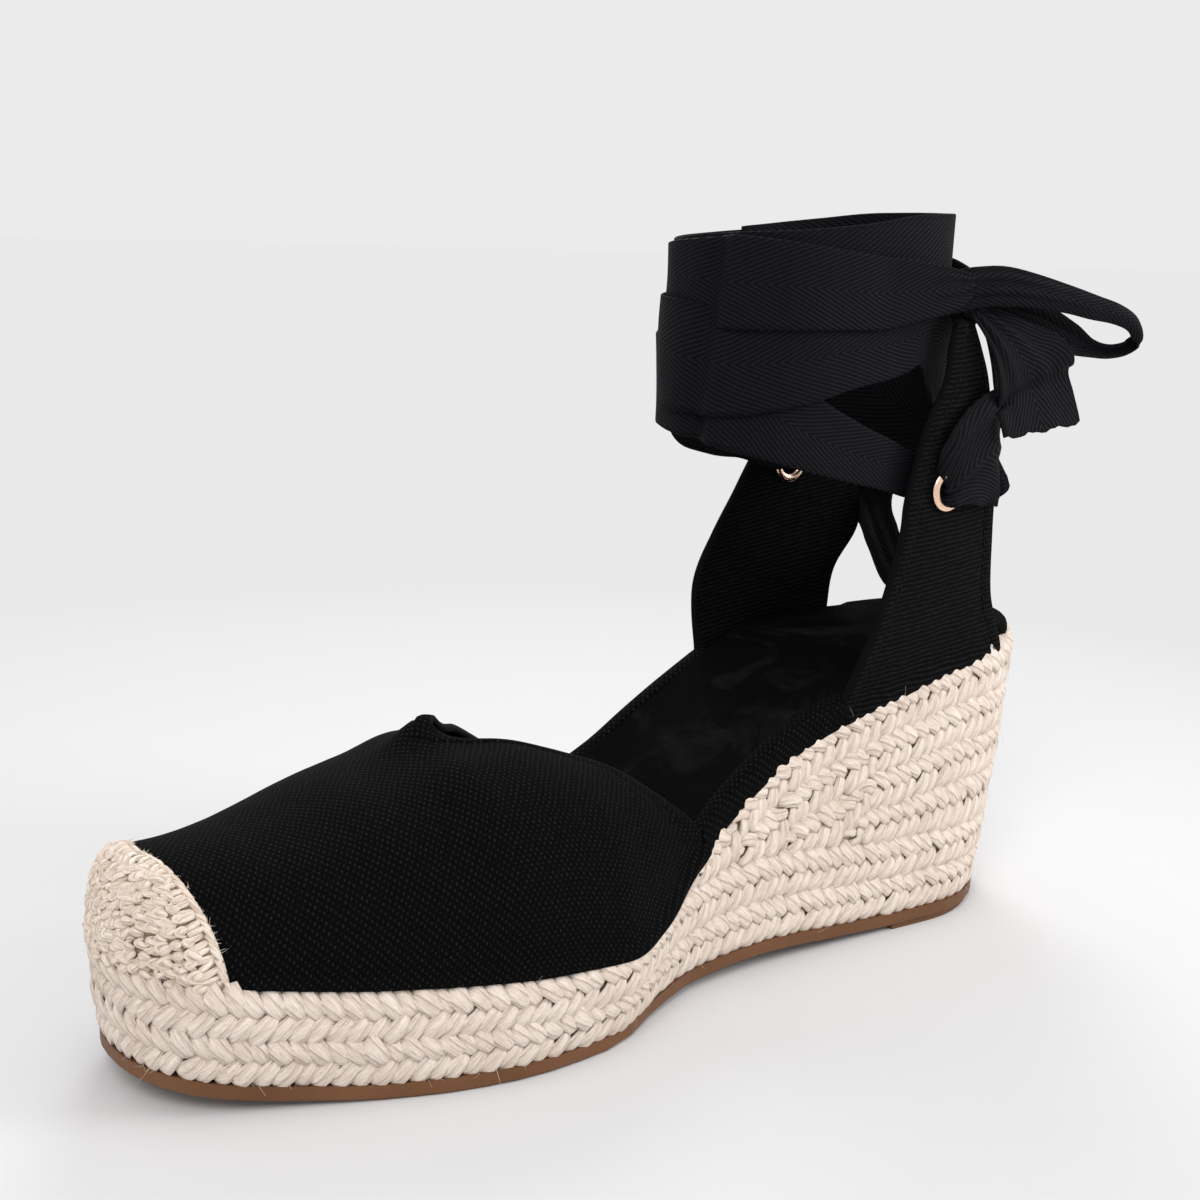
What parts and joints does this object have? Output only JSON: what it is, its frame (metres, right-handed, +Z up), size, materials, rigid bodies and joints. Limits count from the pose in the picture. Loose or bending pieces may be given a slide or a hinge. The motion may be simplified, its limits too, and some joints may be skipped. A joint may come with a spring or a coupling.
{
  "type": "espadrille wedge sandal",
  "caption": "Right espadrille wedge sandal: jute wedge, black canvas closed vamp with crocheted toe cap, side straps with eyelets and a cotton tape tied round the ankle in a bow.",
  "frame": {"origin": "on the floor under the middle of the shoe's box, knot, bow and loose ends apart", "axes": "+Z up; +Y towards the heel, so the toe points to -Y; +X to the medial side of this right shoe"},
  "size_m": [0.0896, 0.2714, 0.1824],
  "materials": {
    "tan_rubber": "satin moulded rubber",
    "jute_braid": "plaited jute yarn",
    "black_suede": "napped suede",
    "black_canvas": "plain-weave cotton canvas",
    "crochet_jute": "crocheted jute yarn",
    "rose_gold": "polished rose-gold plate",
    "cotton_tape": "herringbone cotton tape"
  },
  "bodies": {
    "root": {"outsole": "tan_rubber", "wedge": "jute_braid", "insole": "black_suede", "vamp": "black_canvas", "toe_cap": "crochet_jute", "strap_medial": "black_canvas", "strap_lateral": "black_canvas", "eyelet_medial": "rose_gold", "eyelet_lateral": "rose_gold", "ankle_wrap": "cotton_tape", "tape_lead_medial": "cotton_tape", "tape_lead_lateral": "cotton_tape", "heel_tape": "cotton_tape", "knot": "cotton_tape", "bow_loop": "cotton_tape", "bow_loop_back": "cotton_tape", "tape_tail": "cotton_tape", "tape_tail_back": "cotton_tape"}
  },
  "joints": []
}
